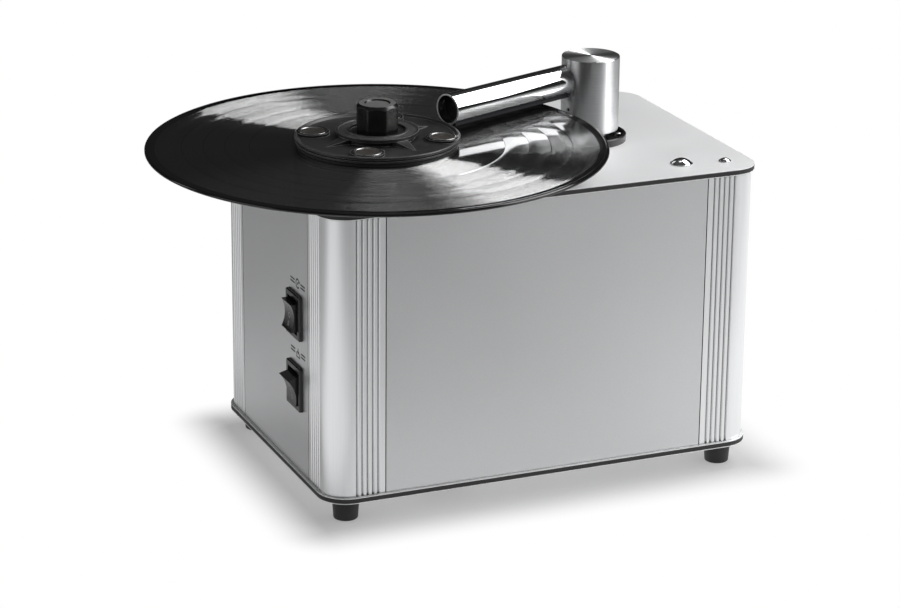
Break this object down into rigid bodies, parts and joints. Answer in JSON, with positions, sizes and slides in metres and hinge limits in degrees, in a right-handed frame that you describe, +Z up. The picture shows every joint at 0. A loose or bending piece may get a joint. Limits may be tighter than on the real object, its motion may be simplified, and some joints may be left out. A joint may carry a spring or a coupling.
{
  "type": "record cleaning machine",
  "caption": "Boxed record cleaning machine: driven platter with clamped disc, swivelling spring-lifted suction arm, rocker switches, waste tank and blower inside.",
  "frame": {"origin": "on the surface the feet stand on, under the middle of the whole machine's box (record overhang and drain cap included)", "axes": "+X along the long front face towards the arm's end, +Y from the front to the rear panel, +Z up"},
  "size_m": [0.4115, 0.326, 0.2743],
  "materials": {
    "sheet_core": "dark polyethylene core of the composite sheet",
    "sheet_skin": "fine brushed, satin",
    "post": "satin anodised extrusion",
    "panel": "bead blasted, satin anodised",
    "foot_rubber": "matt black",
    "fastener": "zinc plated steel",
    "bearing": "sintered bronze",
    "washer": "white low friction plastic",
    "spindle_steel": "ground steel",
    "platter": "turned",
    "mat": "matt black",
    "vinyl": "pressed black vinyl, grooved",
    "motor_can": "plated steel can",
    "bracket": "folded sheet",
    "clamp_black": "fine textured black moulding",
    "weight_steel": "turned and polished",
    "seal_rubber": "black",
    "knob_black": "semi gloss black",
    "brass_insert": "turned",
    "cup_black": "black anodised look",
    "pipe": "drawn",
    "bush": "white acetal",
    "spring_steel": "spring wire",
    "column": "bead blasted and anodised, turned top",
    "tube_chrome": "polished",
    "felt": "black felt",
    "plug_black": "matt black",
    "dome_chrome": "polished",
    "switch_black": "black moulding",
    "contact": "tinned brass",
    "inlet_black": "black moulding",
    "tank": "natural polyethylene",
    "hose_rubber": "grey hose",
    "spigot": "grey moulding",
    "cap_black": "black rubber",
    "fan_housing": "plated sheet",
    "impeller": "pressed",
    "board": "circuit board with parts"
  },
  "bodies": {
    "cabinet": {"top_plate_core": "sheet_core", "top_plate_skins": "sheet_skin", "bottom_plate_core": "sheet_core", "bottom_plate_skins": "sheet_skin", "post_front_left": "post", "post_front_right": "post", "post_rear_left": "post", "post_rear_right": "post", "front_panel": "panel", "rear_panel": "panel", "left_panel": "panel", "right_panel": "panel", "feet": "foot_rubber", "foot_screws": "fastener", "tie_bolts": "fastener", "deck_inserts": "brass_insert", "bearing_housing": "bearing", "thrust_washer": "washer", "pan_screws": "fastener", "gear_motor": "motor_can", "motor_bracket": "bracket", "base_cup": "cup_black", "suction_pipe": "pipe", "arm_spring": "spring_steel", "vent_cap": "dome_chrome", "dome_screw": "dome_chrome", "switch_terminals": "contact", "mains_inlet": "inlet_black", "inlet_pins": "contact", "waste_tank": "tank", "tank_lid": "tank", "drain_spigot": "spigot", "suction_hose": "hose_rubber", "blower_housing": "fan_housing", "blower_motor": "motor_can", "blower_foot": "foot_rubber", "power_board": "board", "motor_switch": "switch_black", "vacuum_switch": "switch_black"},
    "platter": {"spindle": "spindle_steel", "platter": "platter", "platter_mat": "mat", "record": "vinyl", "shaft_coupling": "platter"},
    "clamp": {"clamp_disc": "clamp_black", "clamp_weights": "weight_steel", "clamp_seal": "seal_rubber"},
    "knob": {"clamp_knob": "knob_black", "knob_insert": "brass_insert"},
    "carriage": {"lift_bush": "bush"},
    "arm": {"arm_column": "column", "arm_set_screw": "fastener", "arm_tube": "tube_chrome", "arm_lips": "felt", "arm_end_plug": "plug_black"},
    "motor_rocker": {"motor_rocker": "switch_black"},
    "vacuum_rocker": {"vacuum_rocker": "switch_black"},
    "impeller": {"blower_impeller": "impeller"},
    "drain_cap": {"drain_cap": "cap_black"}
  },
  "joints": [
    {"name": "platter_spin", "type": "hinge", "parent": "cabinet", "child": "platter", "pos_m": [-0.05495, -0.0122, 0.245], "axis": [0, 0, 1], "continuous": true},
    {"name": "clamp_lift", "type": "slide", "parent": "platter", "child": "clamp", "axis": [0, 0, 1], "range_m": [0, 0.035]},
    {"name": "knob_turn", "type": "hinge", "parent": "clamp", "child": "knob", "pos_m": [-0.05495, -0.0122, 0.245], "axis": [0, 0, 1], "range_deg": [0, 720]},
    {"name": "arm_drop", "type": "slide", "parent": "cabinet", "child": "carriage", "axis": [0, 0, 1], "range_m": [-0.0015, 0], "stiffness_N_per_m": 800, "springref_m": 0.01, "deforming": ["arm_spring"]},
    {"name": "arm_swing", "type": "hinge", "parent": "carriage", "child": "arm", "pos_m": [0.12415, 0.0442, 0.2229], "axis": [0, 0, 1], "range_deg": [-100, 0]},
    {"name": "motor_rocker_tilt", "type": "hinge", "parent": "cabinet", "child": "motor_rocker", "pos_m": [-0.10305, 0.0049, 0.1291], "axis": [0, 1, 0], "range_deg": [-12, 12]},
    {"name": "vacuum_rocker_tilt", "type": "hinge", "parent": "cabinet", "child": "vacuum_rocker", "pos_m": [-0.10305, 0.0049, 0.0792], "axis": [0, 1, 0], "range_deg": [0, 32]},
    {"name": "impeller_spin", "type": "hinge", "parent": "cabinet", "child": "impeller", "pos_m": [-0.00915, 0.0876, 0.092], "axis": [0, 0, 1], "continuous": true},
    {"name": "drain_cap_pull", "type": "slide", "parent": "cabinet", "child": "drain_cap", "axis": [0, 1, 0], "range_m": [0, 0.02]}
  ]
}
